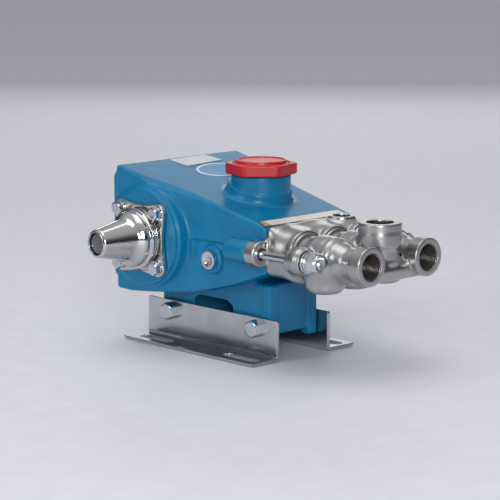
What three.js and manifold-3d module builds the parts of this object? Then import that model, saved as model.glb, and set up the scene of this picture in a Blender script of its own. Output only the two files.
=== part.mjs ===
// Triplex piston pump on two mounting rails, in millimetres.
// X runs along the crankshaft, -Y points out of the discharge ports, Z is up.
// The origin is on the ground, in the middle of the pump's box.

import * as THREE from 'three';
import { mergeVertices } from 'three/addons/utils/BufferGeometryUtils.js';
import Module from 'manifold-3d';

const wasm = await Module();
wasm.setup();

// ---- driving dimensions -------------------------------------------------
const GAP = 0.3;                 // clearance between touching pieces

const AXIS_Z = 92;               // height of the crankshaft and the cylinders
const CRANK_Y = 89;              // crankshaft line
const THROW = 5;                 // crank radius, half the stroke
const ROD_LENGTH = 68;           // big end to wrist pin
const PITCH = 33;                // spacing of the three cylinders
const CRANK_PHASES = [0, 120, 240];

const REAR_Y = 122;              // rear face of the crankcase
const FRONT_Y = -35;             // front face, where the manifolds bolt on
const REAR_TOP_Z = 148.7;
const FRONT_TOP_Z = 112;
const REAR_HALF_WIDTH = 69;       // flush with the bearing bosses
const FRONT_HALF_WIDTH = 49;
const BOSS_X = 69;               // outer face of each bearing boss
const BOSS_R = 41.5;
const BOSS_STEP = [65.3, 39.4];  // x and radius of the low step round each boss's face

const CHAMBER_R = 39;            // crank chamber
const CHAMBER_HALF_WIDTH = 49.5;
const GUIDE_R = 13.4;            // crosshead guides
const CROSSHEAD_R = 13;
const PISTON_ROD_R = 7;

const BEARING_R = 26;
const BEARING_X = 58.5;
const BEARING_WIDTH = 15;
const JOURNAL_R = 12;
const SHAFT_R = 8.25;
const SHAFT_END_X = 119;
const CRANK_PIN_R = 7;
const CRANK_PIN_WIDTH = 18;
const WEB_THICKNESS = 6;
const WEB_R = 16;
const KEY = [86, 116];           // from, to along the driven end
const KEY_WIDTH = 4.6;

const PEDESTAL_HALF_WIDTH = 27.2;
const PEDESTAL_FRONT_Y = -17;
const PEDESTAL_REAR_Y = 112;
const PEDESTAL_FOOT_Z = 14;

const RAIL_CENTRE_Y = 49;
const RAIL_LENGTH = 155;
const RAIL_HEIGHT = 33.5;
const RAIL_THICKNESS = 3;
const RAIL_INNER_X = 27.5;
const RAIL_OUTER_X = 59;
const RAIL_HOLES_Y = [-5, 97];   // bolts and slots along each rail
const RAIL_BOLT_Z = 24.5;
const SLOT_X = 47;
const SLOT_LENGTH = 38;
const SLOT_WIDTH = 9.5;

const NECK_Y = 21;               // oil filler neck
const NECK_R = 24;
const NECK_TOP_Z = 144;
const CAP_TURN = Math.PI / 4;      // a flat of the hexagon cap faces the near front corner

const COVER_BOLT_OFFSET = 22.5;  // bearing cover bolts, along Y and along Z
const COVER_THICKNESS = 4;
const COVER_HUB = 3;             // how far the hub stands past the plate
const M6_HOLE_R = 3.3;
const REAR_BOLT_X = 56;
const REAR_BOLT_Z = [60, 136];
const REAR_COVER_THICKNESS = 6;
const GAUGE_Z = 88;              // oil gauge and drain, on the rear cover's centre line
const DRAIN_Z = 68;
const SIDE_PLUG = [22, 80];      // y, z
const SIDE_PAD_X = 55;

const STUD_X = 57;
const STUD_R = 4;
const EAR_R = 10.3;
const STUD_BOSS_Y = [-21.7, -2];
const STUD_Y = [-108, -5];

const LOBE_R = 18.5;             // round chambers of both manifolds
const POCKET_R = 14;             // bores that hold the seals and the ceramic cylinders
const CYLINDER_Y = [-88.6, -57];
const CYLINDER_BORE_R = 10.3;
const INLET_FRONT_Y = -66;
const SEAL_POCKET_Y = -39;       // rear end of the bores that hold the rod seals
const DISCHARGE_REAR_Y = -66.5;
const PORT_FACE_Y = -133;
const PORT_X = 32.2;
const TOP_PORT_Y = -111;
const TOP_PORT_Z = 120;
const SMALL_PORT = [27, -44];    // x, y
const SMALL_PORT_Z = 114.5;
const PORT_BORE_R = 9;           // drilled size of each port
const TOP_PORT_BORE_R = 10.7;
const SMALL_PORT_BORE_R = 6.5;
const BARREL_R = 14.8;
const TOWER_R = 17;
const CHAMBER_FRONT_Y = -98;     // front end of the discharge chambers
const DISCHARGE_LUG_Y = [-88, -69];
const NECK_BORE_R = 13.9;

// ---- solids ---------------------------------------------------------------
// A closed solid from a geometry, its faces turned outwards.
function solid(geometry) {
  geometry.deleteAttribute('normal');
  geometry.deleteAttribute('uv');
  const merged = mergeVertices(geometry, 1e-4);
  const vertProperties = new Float32Array(merged.attributes.position.array);
  const triVerts = new Uint32Array(merged.index.array);
  const made = new wasm.Manifold(new wasm.Mesh({ numProp: 3, vertProperties, triVerts }));
  if (made.volume() > 0) return made;
  for (let i = 0; i < triVerts.length; i += 3) {
    [triVerts[i], triVerts[i + 1]] = [triVerts[i + 1], triVerts[i]];
  }
  return new wasm.Manifold(new wasm.Mesh({ numProp: 3, vertProperties, triVerts }));
}

// Turns a geometry made along +Z so that it runs along the named axis.
const TURN = {
  x: new THREE.Matrix4().set(0, 0, 1, 0, 1, 0, 0, 0, 0, 1, 0, 0, 0, 0, 0, 1),
  y: new THREE.Matrix4().set(1, 0, 0, 0, 0, 0, 1, 0, 0, 1, 0, 0, 0, 0, 0, 1),
  z: new THREE.Matrix4(),
};

// Places a solid whose run starts on an axis at the point (u, v) across that axis.
function shifted(axis, u, v) {
  return { x: [0, u, v], y: [u, 0, v], z: [u, v, 0] }[axis];
}

function box(x, y, z) {
  const geometry = new THREE.BoxGeometry(x[1] - x[0], y[1] - y[0], z[1] - z[0]);
  geometry.translate((x[0] + x[1]) / 2, (y[0] + y[1]) / 2, (z[0] + z[1]) / 2);
  return solid(geometry);
}

// Sides of a round piece: enough to run true in its neighbour, and no more.
function sidesFor(radius) {
  if (radius < 3.6) return 6;
  if (radius < 6.9) return 8;
  if (radius < 12.7) return 12;
  if (radius < 20.5) return 16;
  return radius < 32 ? 20 : 28;
}

// A round bar, or a cone, between two places on an axis and centred across it at (u, v).
function rod(axis, from, to, radius, u = 0, v = 0, endRadius = radius) {
  return bar(axis, from, to, radius, endRadius, sidesFor(radius), 0, u, v);
}

// A hexagon bar, given across its flats.
function hex(axis, from, to, acrossFlats, u = 0, v = 0, turn = 0) {
  const radius = acrossFlats / Math.sqrt(3);
  return bar(axis, from, to, radius, radius, 6, turn, u, v);
}

function bar(axis, from, to, radius, endRadius, sides, turn, u, v) {
  const geometry = new THREE.CylinderGeometry(endRadius, radius, to - from, sides);
  geometry.rotateY(turn);
  geometry.rotateX(Math.PI / 2);
  geometry.translate(0, 0, (from + to) / 2);
  geometry.applyMatrix4(TURN[axis]);
  geometry.translate(...shifted(axis, u, v));
  return solid(geometry);
}

function tube(axis, from, to, outer, inner, u = 0, v = 0) {
  return rod(axis, from, to, outer, u, v).subtract(rod(axis, from - 1, to + 1, inner, u, v));
}

// A plate: an outline drawn across an axis, thick from one place to another along it.
function plate(axis, outline, from, to) {
  const shape = new THREE.Shape(outline.map(([u, v]) => new THREE.Vector2(u, v)));
  const geometry = new THREE.ExtrudeGeometry(shape, { depth: to - from, bevelEnabled: false });
  geometry.translate(0, 0, from);
  geometry.applyMatrix4(TURN[axis]);
  return solid(geometry);
}

// A turned piece: radii along an axis, closed on the axis at both ends.
function turned(axis, profile, u = 0, v = 0) {
  const points = profile.map(([r, s]) => new THREE.Vector2(r, s));
  const widest = Math.max(...profile.map(([r]) => r));
  const geometry = new THREE.LatheGeometry(points, sidesFor(widest));
  geometry.rotateX(Math.PI / 2);
  geometry.applyMatrix4(TURN[axis]);
  geometry.translate(...shifted(axis, u, v));
  return solid(geometry);
}

const joined = (pieces) => pieces.reduce((whole, piece) => whole.add(piece));
const cut = (body, tools) => tools.reduce((whole, tool) => whole.subtract(tool), body);

// ---- materials -------------------------------------------------------------
const finish = (color, roughness, metalness) =>
  new THREE.MeshStandardMaterial({ color, roughness, metalness });
const MATERIAL = {
  enamel: finish(0x14709b, 0.35, 0.1),
  stainless: finish(0xb4b6b8, 0.28, 1),
  castStainless: finish(0xa4a6a8, 0.4, 1),
  railSteel: finish(0xb9babb, 0.5, 1),
  zinc: finish(0xc3c8cc, 0.3, 1),
  forged: finish(0x6f7377, 0.45, 1),
  bronze: finish(0xb58a4a, 0.4, 1),
  ceramic: finish(0xece7db, 0.25, 0),
  redPlastic: finish(0xbe191e, 0.3, 0),
  clear: finish(0xd8e2e4, 0.1, 0),
  rubber: finish(0x1b1c1e, 0.7, 0),
};

const pump = new THREE.Group();

// Adds a piece to the pump, at a place of its own when one is given.
function add(name, shape, material, at = [0, 0, 0]) {
  const data = shape.getMesh();
  const geometry = new THREE.BufferGeometry();
  geometry.setAttribute('position', new THREE.BufferAttribute(new Float32Array(data.vertProperties), 3));
  geometry.setIndex(new THREE.BufferAttribute(new Uint32Array(data.triVerts), 1));
  const mesh = new THREE.Mesh(geometry, material);
  mesh.name = name;
  mesh.position.set(...at);
  pump.add(mesh);
}

const CYLINDER_X = [-PITCH, 0, PITCH];
const radians = (degrees) => (degrees * Math.PI) / 180;
const SIDES = [['near', -1], ['far', 1]];
const CORNERS = [[-1, -1], [1, -1], [1, 1], [-1, 1]];

// ---- crankcase --------------------------------------------------------------
function crankcaseBlock() {
  const side = [
    [REAR_Y, 48], [REAR_Y, REAR_TOP_Z - 4], [REAR_Y - 4, REAR_TOP_Z],
    [FRONT_Y + 3, FRONT_TOP_Z + 1], [FRONT_Y, FRONT_TOP_Z - 3],
    [FRONT_Y, 75], [3, 61], [51, 48.5], [106, 45],
  ];
  const plan = [
    [REAR_HALF_WIDTH, REAR_Y], [REAR_HALF_WIDTH, 100], [52.5, 47], [FRONT_HALF_WIDTH, FRONT_Y],
  ];
  const outline = [...plan, ...plan.map(([x, y]) => [-x, y]).reverse()];
  return plate('x', side, -REAR_HALF_WIDTH - 1, REAR_HALF_WIDTH + 1)
    .intersect(plate('z', outline, 0, REAR_TOP_Z + 1));
}

function crankcase() {
  const [stepX, stepR] = BOSS_STEP;
  const bosses = rod('x', -stepX, stepX, BOSS_R, CRANK_Y, AXIS_Z)
    .add(rod('x', -BOSS_X, BOSS_X, stepR, CRANK_Y, AXIS_Z))
    .intersect(box([-BOSS_X - 1, BOSS_X + 1], [0, REAR_Y], [0, 150]));
  const block = joined([
    crankcaseBlock(),
    bosses,
    box([-PEDESTAL_HALF_WIDTH, PEDESTAL_HALF_WIDTH], [PEDESTAL_FRONT_Y, PEDESTAL_REAR_Y],
      [PEDESTAL_FOOT_Z, 60]),
    rod('z', 110, NECK_TOP_Z, NECK_R, 0, NECK_Y),
    rod('z', 110, 132, NECK_R + 5, 0, NECK_Y),
  ]);
  const studBosses = [-1, 1].flatMap((s) => [
    rod('y', STUD_BOSS_Y[0], STUD_BOSS_Y[1], EAR_R, s * STUD_X, AXIS_Z),
    box([Math.min(s * 44, s * STUD_X), Math.max(s * 44, s * STUD_X)], STUD_BOSS_Y,
      [AXIS_Z - 6, AXIS_Z + 6]),
    rod('x', s * (SIDE_PAD_X - 4) - 4, s * (SIDE_PAD_X - 4) + 4, 12.7, ...SIDE_PLUG),
  ]);
  const archOutline = [[28, 0], [28, 33.5], [34.5, 40], [67.5, 40], [74, 33.5], [74, 0]];
  const bores = [
    rod('x', -CHAMBER_HALF_WIDTH, CHAMBER_HALF_WIDTH, CHAMBER_R, CRANK_Y, AXIS_Z),
    box([-49, 49], [CRANK_Y, REAR_Y + 1], [60, 130]),
    rod('x', -BOSS_X - 1, BOSS_X + 1, BEARING_R, CRANK_Y, AXIS_Z),
    rod('z', 100, NECK_TOP_Z + 1, NECK_BORE_R, 0, NECK_Y),
    plate('x', archOutline, -PEDESTAL_HALF_WIDTH - 1, PEDESTAL_HALF_WIDTH + 1),
    rod('x', -SIDE_PAD_X - 1, -49.5, 5.3, ...SIDE_PLUG),
    ...CYLINDER_X.flatMap((x) => [
      rod('y', -14, CRANK_Y, GUIDE_R, x, AXIS_Z),
      rod('y', FRONT_Y - 1, 0, PISTON_ROD_R + 1.5, x, AXIS_Z),
    ]),
    ...[-1, 1].map((s) => rod('y', FRONT_Y, -4, STUD_R + GAP, s * STUD_X, AXIS_Z)),
    ...[[-BOSS_X - 1, -57], [57, BOSS_X + 1]].flatMap(([from, to]) => CORNERS.map(([y, z]) =>
      rod('x', from, to, M6_HOLE_R, CRANK_Y + y * COVER_BOLT_OFFSET, AXIS_Z + z * COVER_BOLT_OFFSET))),
    ...[-1, 1].flatMap((s) => REAR_BOLT_Z.map((z) =>
      rod('y', REAR_Y - 12, REAR_Y + 1, M6_HOLE_R, s * REAR_BOLT_X, z))),
    ...[-1, 1].flatMap((s) => RAIL_HOLES_Y.map((y) =>
      rod('x', s * 21 - 8, s * 21 + 8, STUD_R + GAP, y, RAIL_BOLT_Z))),
  ];
  return cut(block.add(joined(studBosses)), bores);
}
add('crankcase', crankcase(), MATERIAL.enamel);

// ---- covers and what is screwed into them ------------------------------------
function rearCover() {
  const outline = [];
  const corners = [[58, 60, 0], [58, 137, 90], [-58, 137, 180], [-58, 60, 270]];
  for (const [x, z, start] of corners) {
    for (let step = 0; step <= 3; step += 1) {
      const angle = radians(start - 90 + step * 30);
      outline.push([x + 8 * Math.cos(angle), z + 8 * Math.sin(angle)]);
    }
  }
  const through = [REAR_Y - 1, REAR_Y + REAR_COVER_THICKNESS + 1];
  return cut(plate('y', outline, REAR_Y + GAP, REAR_Y + REAR_COVER_THICKNESS), [
    ...[-1, 1].flatMap((s) => REAR_BOLT_Z.map((z) =>
      rod('y', ...through, M6_HOLE_R, s * REAR_BOLT_X, z))),
    rod('y', ...through, 8.3, 0, GAUGE_Z),
    rod('y', ...through, 5.3, 0, DRAIN_Z),
  ]);
}
add('rear_cover', rearCover(), MATERIAL.enamel);

const REAR_COVER_FACE = REAR_Y + REAR_COVER_THICKNESS + GAP;
const lens = rod('y', REAR_Y - 1, REAR_COVER_FACE + 1, 8, 0, GAUGE_Z)
  .add(rod('y', REAR_COVER_FACE, REAR_COVER_FACE + 2.7, 11, 0, GAUGE_Z));
add('oil_gauge_lens', lens, MATERIAL.clear);

const drain = rod('y', REAR_Y - 4, REAR_COVER_FACE + 1, 5, 0, DRAIN_Z)
  .add(hex('y', REAR_COVER_FACE, REAR_COVER_FACE + 4.7, 13, 0, DRAIN_Z));
add('drain_plug', drain, MATERIAL.zinc);

const sidePlug = rod('x', -SIDE_PAD_X - 1, -SIDE_PAD_X + 4.5, 5, ...SIDE_PLUG)
  .add(rod('x', -SIDE_PAD_X - 4, -SIDE_PAD_X - GAP, 7.5, ...SIDE_PLUG))
  .subtract(hex('x', -SIDE_PAD_X - 5, -SIDE_PAD_X - 1.5, 4.5, ...SIDE_PLUG));
add('side_plug', sidePlug, MATERIAL.zinc);

// A hex-headed bolt whose shank runs from the origin towards -axis and whose head stands out.
function hexBolt(axis, shankR, shankLength, acrossFlats, headHeight, washerR) {
  return joined([
    rod(axis, -shankLength, 1, shankR),
    rod(axis, 0, 1.6, washerR),
    hex(axis, 1, 1.6 + headHeight, acrossFlats),
  ]);
}

// ---- bearing covers, seals and the shaft protector -----------------------------
const COVER_FACE_X = BOSS_X + GAP + COVER_THICKNESS;

// A cover with four ears, written for the far side; the near one is its mirror image.
function bearingCover(sign) {
  const x = (from, to) => (sign > 0 ? [from, to] : [-to, -from]);
  const along = (from, to, r, y = 0, z = 0) =>
    rod('x', ...x(from, to), r, CRANK_Y + y, AXIS_Z + z);
  const web = (slope) => {
    const geometry = new THREE.BoxGeometry(COVER_THICKNESS, 2 * Math.SQRT2 * COVER_BOLT_OFFSET, 15);
    geometry.rotateX(slope * Math.PI / 4);
    geometry.translate(sign * (BOSS_X + GAP + COVER_THICKNESS / 2), CRANK_Y, AXIS_Z);
    return solid(geometry);
  };
  const plateBody = joined([
    along(BOSS_X + GAP, COVER_FACE_X, 28),
    along(BOSS_X - 3, BOSS_X + 1, BEARING_R - GAP),
    along(BOSS_X, COVER_FACE_X + COVER_HUB, 23.5),
    web(1), web(-1),
    ...CORNERS.map(([y, z]) => along(BOSS_X + GAP, COVER_FACE_X, 7.5,
      y * COVER_BOLT_OFFSET, z * COVER_BOLT_OFFSET)),
  ]);
  return cut(plateBody, [
    along(BOSS_X - 4, COVER_FACE_X + 1, 16.3),
    along(BOSS_X, COVER_FACE_X + 4, SHAFT_R + 1),
    ...CORNERS.map(([y, z]) => along(BOSS_X, COVER_FACE_X + 1, M6_HOLE_R,
      y * COVER_BOLT_OFFSET, z * COVER_BOLT_OFFSET)),
  ]);
}

for (const [side, sign] of SIDES) {
  add(`${side}_bearing_cover`, bearingCover(sign), MATERIAL.stainless);
  add(`${side}_main_bearing`,
    tube('x', -BEARING_WIDTH / 2, BEARING_WIDTH / 2, BEARING_R - GAP, JOURNAL_R + 2 * GAP),
    MATERIAL.forged, [sign * BEARING_X, CRANK_Y, AXIS_Z]);
  add(`${side}_shaft_seal`, tube('x', -3.2, 3.2, 16, SHAFT_R + 0.4), MATERIAL.rubber,
    [sign * (BOSS_X + 0.6), CRANK_Y, AXIS_Z]);
}

CORNERS.forEach(([y, z], k) => {
  const bolt = hexBolt('x', 3, 14, 10, 4, 5.6).rotate([0, 0, 180]);
  add(`near_cover_bolt_${k + 1}`, bolt, MATERIAL.zinc,
    [-COVER_FACE_X - GAP, CRANK_Y + y * COVER_BOLT_OFFSET, AXIS_Z + z * COVER_BOLT_OFFSET]);
});

function shaftProtector() {
  const start = COVER_FACE_X + COVER_HUB + GAP;
  const outer = [[0, -start], [25, -start], [25, -start - 2], [21.5, -start - 7], [17, -start - 14],
    [12.3, -SHAFT_END_X + 4], [10, -SHAFT_END_X], [0, -SHAFT_END_X]];
  const hollow = [[0, -start + 1], [22, -start + 1], [22, -start - 1], [13, -start - 13],
    [9.2, -SHAFT_END_X + 12], [9.2, -SHAFT_END_X - 1], [0, -SHAFT_END_X - 1]];
  return turned('x', outer, CRANK_Y, AXIS_Z).subtract(turned('x', hollow, CRANK_Y, AXIS_Z));
}
add('shaft_protector', shaftProtector(), MATERIAL.stainless);

// ---- crankshaft, rods, crossheads and pistons -----------------------------------
const JOURNAL_END_X = BEARING_X + BEARING_WIDTH / 2;

function crankshaft() {
  const halfPin = CRANK_PIN_WIDTH / 2;
  const outerWeb = PITCH + halfPin;
  const straight = joined([
    rod('x', -SHAFT_END_X + 2, -JOURNAL_END_X + 1, SHAFT_R),
    rod('x', JOURNAL_END_X - 1, SHAFT_END_X, SHAFT_R),
    rod('x', -JOURNAL_END_X, -outerWeb - 1, JOURNAL_R),
    rod('x', outerWeb + 1, JOURNAL_END_X, JOURNAL_R),
    rod('x', -outerWeb - WEB_THICKNESS, -outerWeb, WEB_R),
    rod('x', outerWeb, outerWeb + WEB_THICKNESS, WEB_R),
    rod('x', -PITCH + halfPin, -halfPin, WEB_R),
    rod('x', halfPin, PITCH - halfPin, WEB_R),
  ]);
  const pins = CYLINDER_X.map((x, k) => rod('x', x - halfPin - 1, x + halfPin + 1, CRANK_PIN_R,
    THROW * Math.cos(radians(CRANK_PHASES[k])), THROW * Math.sin(radians(CRANK_PHASES[k]))));
  const keyway = box([KEY[0] - GAP, KEY[1] + GAP], [-KEY_WIDTH / 2 - GAP, KEY_WIDTH / 2 + GAP],
    [SHAFT_R - 3.2, SHAFT_R + 2]);
  return straight.add(joined(pins)).subtract(keyway);
}
add('crankshaft', crankshaft(), MATERIAL.forged, [0, CRANK_Y, AXIS_Z]);
add('shaft_key', box(KEY, [-KEY_WIDTH / 2, KEY_WIDTH / 2], [-2.5, 2.5]), MATERIAL.forged,
  [0, CRANK_Y, AXIS_Z + SHAFT_R - 0.4]);

// The big end is opened out so that rod and crank can each be moved alone.
const BIG_END_BORE = CRANK_PIN_R + THROW * (1 + Math.SQRT1_2) * Math.SQRT2 + 0.4;
const BIG_END_R = BIG_END_BORE + 3.4;

function connectingRod() {
  const body = joined([
    rod('x', -5, 5, 7.5),
    rod('x', -6.5, 6.5, BIG_END_R, ROD_LENGTH),
    box([-4.5, 4.5], [0, ROD_LENGTH - BIG_END_R + 3], [-5, 5]),
  ]);
  return cut(body, [
    rod('x', -8, 8, BIG_END_BORE, ROD_LENGTH),
    rod('x', -8, 8, 4 + 2 * GAP),
  ]);
}

const PISTON_BACK = -88.1;       // along the bore, counted from the wrist pin
const PISTON_NOSE = -100;

function crossheadRod() {
  const body = joined([
    rod('y', -13, 13, CROSSHEAD_R),
    rod('y', PISTON_BACK + 4.8, -12, PISTON_ROD_R),
    rod('y', PISTON_NOSE + 3, PISTON_BACK + 5, 4),
  ]);
  return cut(body, [
    box([-5.5, 5.5], [-9, 14], [-14, 14]),
    rod('x', -14, 14, 4 + GAP),
  ]);
}

function piston() {
  return rod('y', PISTON_NOSE, PISTON_BACK, 10)
    .subtract(rod('y', PISTON_NOSE + 3 - GAP, PISTON_BACK + 1, 4 + GAP));
}

CYLINDER_X.forEach((x, k) => {
  const phase = radians(CRANK_PHASES[k]);
  const rise = THROW * Math.sin(phase);
  const tilt = Math.asin(rise / ROD_LENGTH);
  const wristY = CRANK_Y + THROW * Math.cos(phase) - ROD_LENGTH * Math.cos(tilt);
  const at = [x, wristY, AXIS_Z];
  const n = k + 1;
  add(`connecting_rod_${n}`, connectingRod(), MATERIAL.bronze, at);
  pump.children.at(-1).rotation.x = tilt;
  add(`wrist_pin_${n}`, rod('x', -11.5, 11.5, 4), MATERIAL.forged, at);
  add(`crosshead_rod_${n}`, crossheadRod(), MATERIAL.stainless, at);
  add(`piston_${n}`, piston(), MATERIAL.ceramic, at);
  add(`inlet_valve_${n}`, tube('y', -1, 1, 9.4, 4 + GAP), MATERIAL.stainless,
    [x, wristY + PISTON_BACK + 3.5, AXIS_Z]);
  add(`rod_seal_${n}`, tube('y', -4, 4, POCKET_R - GAP, PISTON_ROD_R + GAP), MATERIAL.rubber,
    [x, SEAL_POCKET_Y - 4.5, AXIS_Z]);
  add(`cylinder_${n}`, tube('y', ...CYLINDER_Y, POCKET_R - GAP, CYLINDER_BORE_R), MATERIAL.ceramic,
    [x, 0, AXIS_Z]);
  const valve = rod('y', -3, 0, 8.6).add(rod('y', -7, -2, 2.5));
  add(`discharge_valve_${n}`, valve, MATERIAL.stainless, [x, -91.3, AXIS_Z]);
});

// ---- manifolds --------------------------------------------------------------
function inletManifold() {
  const back = FRONT_Y - GAP;
  const body = joined([
    ...CYLINDER_X.map((x) => rod('y', INLET_FRONT_Y, back, LOBE_R, x, AXIS_Z)),
    box([-PITCH, PITCH], [INLET_FRONT_Y + 5, back], [AXIS_Z - 17, AXIS_Z + 17]),
    rod('z', AXIS_Z, SMALL_PORT_Z, 10.5, ...SMALL_PORT),
    ...[-1, 1].map((s) => rod('y', -37, STUD_BOSS_Y[0] - GAP, EAR_R, s * STUD_X, AXIS_Z)),
  ]);
  // The ears reach back past the front face, so the crankcase corner is cleared there.
  return cut(body, [
    box([-FRONT_HALF_WIDTH - 1.5, FRONT_HALF_WIDTH + 1.5], [back, 0], [60, 120]),
    ...CYLINDER_X.flatMap((x) => [
      rod('y', INLET_FRONT_Y - 1, SEAL_POCKET_Y, POCKET_R, x, AXIS_Z),
      rod('y', SEAL_POCKET_Y - 1, back + 1, PISTON_ROD_R + 1.5, x, AXIS_Z),
    ]),
    rod('x', -PITCH, PITCH, 6.5, -50, AXIS_Z),
    rod('z', AXIS_Z, SMALL_PORT_Z + 1, SMALL_PORT_BORE_R, ...SMALL_PORT),
    ...[-1, 1].map((s) => rod('y', -39, 0, STUD_R + GAP, s * STUD_X, AXIS_Z)),
  ]);
}
add('inlet_manifold', inletManifold(), MATERIAL.castStainless);

function dischargeManifold() {
  const body = joined([
    ...CYLINDER_X.map((x) => rod('y', CHAMBER_FRONT_Y, DISCHARGE_REAR_Y, LOBE_R, x, AXIS_Z)),
    ...CYLINDER_X.map((x) => rod('y', -106, CHAMBER_FRONT_Y + 1, 14, x, AXIS_Z, LOBE_R)),
    box([-PITCH, PITCH], [CHAMBER_FRONT_Y, DISCHARGE_REAR_Y - 3], [AXIS_Z - 16, AXIS_Z + 14]),
    rod('z', 70, AXIS_Z, 17, 0, -88),
    rod('x', -PORT_X, PORT_X, 10, -114, 85),
    rod('y', -120, -95, 13.2, -PORT_X, AXIS_Z - 1),
    rod('y', -120, -95, 13.2, PORT_X, AXIS_Z - 1),
    rod('y', PORT_FACE_Y, -119, BARREL_R, -PORT_X, AXIS_Z - 1),
    rod('y', PORT_FACE_Y, -119, BARREL_R, PORT_X, AXIS_Z - 1),
    rod('z', 84, TOP_PORT_Z, TOWER_R, 0, TOP_PORT_Y),
    box([-15, 15], [TOP_PORT_Y, -95], [80, 104]),
    ...[-1, 1].flatMap((s) => [
      rod('y', ...DISCHARGE_LUG_Y, EAR_R, s * STUD_X, AXIS_Z),
      box([Math.min(s * 40, s * STUD_X), Math.max(s * 40, s * STUD_X)], DISCHARGE_LUG_Y, [84, 100]),
    ]),
  ]);
  return cut(body, [
    ...CYLINDER_X.flatMap((x) => [
      rod('y', CYLINDER_Y[0] - 0.4, DISCHARGE_REAR_Y + 1, POCKET_R, x, AXIS_Z),
      rod('y', -92, -88, 7, x, AXIS_Z),
      rod('y', -104, -91, 9.5, x, AXIS_Z),
    ]),
    rod('y', PORT_FACE_Y - 1, -102, PORT_BORE_R, -PORT_X, AXIS_Z - 1),
    rod('y', PORT_FACE_Y - 1, -102, PORT_BORE_R, PORT_X, AXIS_Z - 1),
    rod('y', TOP_PORT_Y, -102, 8, 0, AXIS_Z),
    rod('z', AXIS_Z - 5, TOP_PORT_Z + 1, TOP_PORT_BORE_R, 0, TOP_PORT_Y),
    rod('x', -PORT_X, PORT_X, 5, -113, 88),
    ...[-1, 1].flatMap((s) => [
      rod('y', -90, -68, STUD_R + GAP, s * STUD_X, AXIS_Z),
      rod('y', -110, DISCHARGE_LUG_Y[0], 9.6, s * STUD_X, AXIS_Z),
    ]),
  ]);
}
add('discharge_manifold', dischargeManifold(), MATERIAL.castStainless);

for (const [side, sign] of SIDES) {
  add(`${side}_manifold_stud`, rod('y', ...STUD_Y, STUD_R), MATERIAL.zinc,
    [sign * STUD_X, 0, AXIS_Z]);
  const nut = hex('y', -12.4, -2, 13).add(rod('y', -2.4, 0, 8.5))
    .subtract(rod('y', -13, 1, STUD_R + GAP));
  add(`${side}_manifold_nut`, nut, MATERIAL.zinc, [sign * STUD_X, DISCHARGE_LUG_Y[0] - GAP, AXIS_Z]);
}

// ---- rails --------------------------------------------------------------------
function rail(sign) {
  const half = RAIL_LENGTH / 2;
  const section = [
    [RAIL_INNER_X, 0], [RAIL_OUTER_X, 0], [RAIL_OUTER_X, RAIL_THICKNESS],
    [RAIL_INNER_X + RAIL_THICKNESS, RAIL_THICKNESS],
    [RAIL_INNER_X + RAIL_THICKNESS, RAIL_HEIGHT], [RAIL_INNER_X, RAIL_HEIGHT],
  ].map(([x, z]) => [sign * x, z]);
  const slots = RAIL_HOLES_Y.flatMap((y) => {
    const straight = (SLOT_LENGTH - SLOT_WIDTH) / 2;
    const left = sign * SLOT_X - SLOT_WIDTH / 2;
    return [
      box([left, left + SLOT_WIDTH], [y - straight, y + straight], [-1, 5]),
      rod('z', -1, 5, SLOT_WIDTH / 2, sign * SLOT_X, y - straight),
      rod('z', -1, 5, SLOT_WIDTH / 2, sign * SLOT_X, y + straight),
    ];
  });
  const holes = RAIL_HOLES_Y.map((y) => rod('x', sign * 29 - 4, sign * 29 + 4, 4.5, y, RAIL_BOLT_Z));
  return cut(plate('y', section, RAIL_CENTRE_Y - half, RAIL_CENTRE_Y + half), [...slots, ...holes]);
}

for (const [side, sign] of SIDES) add(`${side}_rail`, rail(sign), MATERIAL.railSteel);

let railBolt = 0;
for (const [, sign] of SIDES) {
  for (const y of RAIL_HOLES_Y) {
    const bolt = hexBolt('x', STUD_R, 14, 13, 6, 8.5);
    railBolt += 1;
    add(`rail_bolt_${railBolt}`, sign < 0 ? bolt.rotate([0, 0, 180]) : bolt, MATERIAL.zinc,
      [sign * (RAIL_INNER_X + RAIL_THICKNESS + GAP), y, RAIL_BOLT_Z]);
  }
}

let rearBolt = 0;
for (const s of [-1, 1]) {
  for (const z of REAR_BOLT_Z) {
    rearBolt += 1;
    add(`rear_cover_bolt_${rearBolt}`, hexBolt('y', 3, 14, 10, 3.1, 5.6), MATERIAL.zinc,
      [s * REAR_BOLT_X, REAR_COVER_FACE, z]);
  }
}

// ---- oil filler cap --------------------------------------------------------------
function oilCap() {
  return joined([
    hex('z', 1.9, 10, 52, 0, 0, CAP_TURN),
    rod('z', 9, 12.2, 23, 0, 0, 21),
    rod('z', -12, 3, 13.4),
  ]).subtract(rod('z', -13, 8, 10));
}
add('oil_filler_cap', oilCap(), MATERIAL.redPlastic, [0, NECK_Y, NECK_TOP_Z]);
add('oil_cap_gasket', tube('z', 0.3, 1.6, 22, 13.8), MATERIAL.rubber, [0, NECK_Y, NECK_TOP_Z]);

export default pump;
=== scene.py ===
"""Triplex pressure washer pump: cast blue crankcase on two slotted rails, polished manifolds, red oil cap.

Every shape below is worked out in millimetres in the CAD frame and turned to metres as its mesh is made.
"""
import math

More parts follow.
